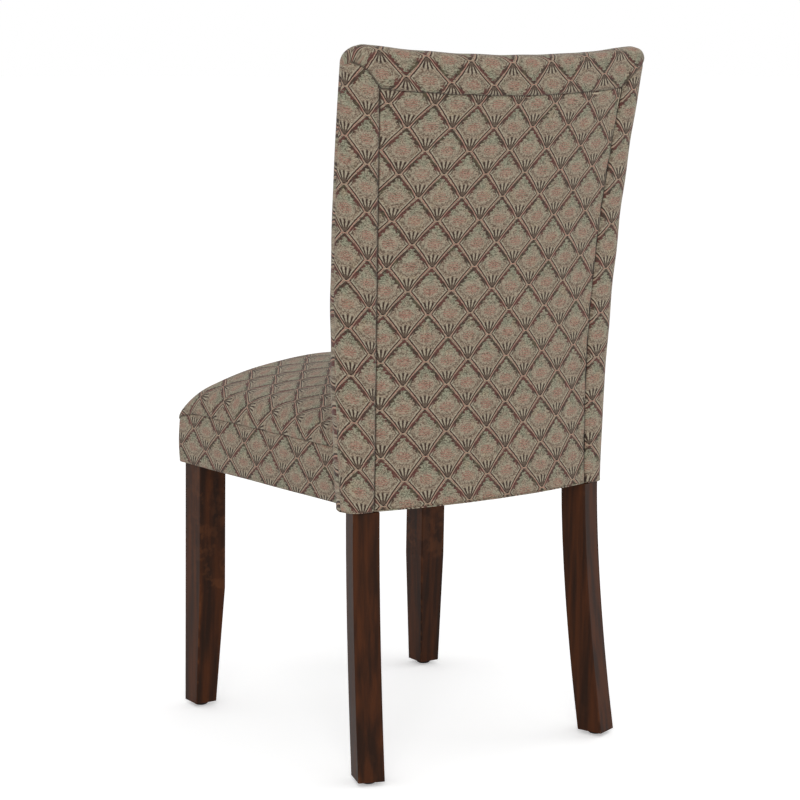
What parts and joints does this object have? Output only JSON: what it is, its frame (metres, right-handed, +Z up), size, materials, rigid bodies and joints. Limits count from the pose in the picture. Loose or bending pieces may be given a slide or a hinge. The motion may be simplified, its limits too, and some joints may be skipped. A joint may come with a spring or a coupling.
{
  "type": "parsons chair",
  "caption": "Armless upholstered dining chair with a tall curved back, a crowned seat in diamond trellis cloth, tapered front legs and swept rear legs.",
  "frame": {"origin": "on the floor under the middle of the chair's box", "axes": "+Z up, the sitter faces -Y, the sitter's left hand is at +X"},
  "size_m": [0.493, 0.4895, 0.9645],
  "materials": {
    "stained_wood": "dark espresso stain under satin lacquer",
    "frame_hardwood": "bare sawn and planed hardwood",
    "dowel_beech": "fluted beech, unfinished",
    "fibre_board": "smooth brown hardboard",
    "tack_strip": "stiff grey-tan strip",
    "zinc_steel": "zinc plated",
    "insert_brass": "plain brass",
    "glide_plastic": "dark nylon",
    "webbing": "woven elastic strap",
    "platform_cloth": "plain non-woven cloth",
    "foam": "open-cell foam",
    "wadding": "polyester wadding",
    "patterned_cover": "woven diamond trellis jacquard",
    "dust_cloth": "thin black non-woven cloth"
  },
  "bodies": {
    "root": {"rear_post_left": "stained_wood", "rear_post_right": "stained_wood", "front_leg_left": "stained_wood", "front_leg_right": "stained_wood", "seat_front_rail": "frame_hardwood", "seat_side_rail_left": "frame_hardwood", "seat_side_rail_right": "frame_hardwood", "seat_rear_rail": "frame_hardwood", "seat_corner_blocks": "frame_hardwood", "corner_block_screws": "zinc_steel", "seat_frame_dowels": "dowel_beech", "seat_back_bolts": "zinc_steel", "bolt_washers": "zinc_steel", "threaded_inserts": "insert_brass", "back_top_rail": "frame_hardwood", "back_middle_rail": "frame_hardwood", "back_lower_rail": "frame_hardwood", "back_frame_dowels": "dowel_beech", "glides": "glide_plastic", "seat_webbing": "webbing", "seat_platform_cloth": "platform_cloth", "seat_foam": "foam", "seat_wadding": "wadding", "seat_cover": "patterned_cover", "dust_cover": "dust_cloth", "back_webbing": "webbing", "back_foam_pad": "foam", "outside_back_board": "fibre_board", "outside_back_tack_strips": "tack_strip", "outside_back_panel": "patterned_cover", "inside_back_cover": "patterned_cover"}
  },
  "joints": []
}
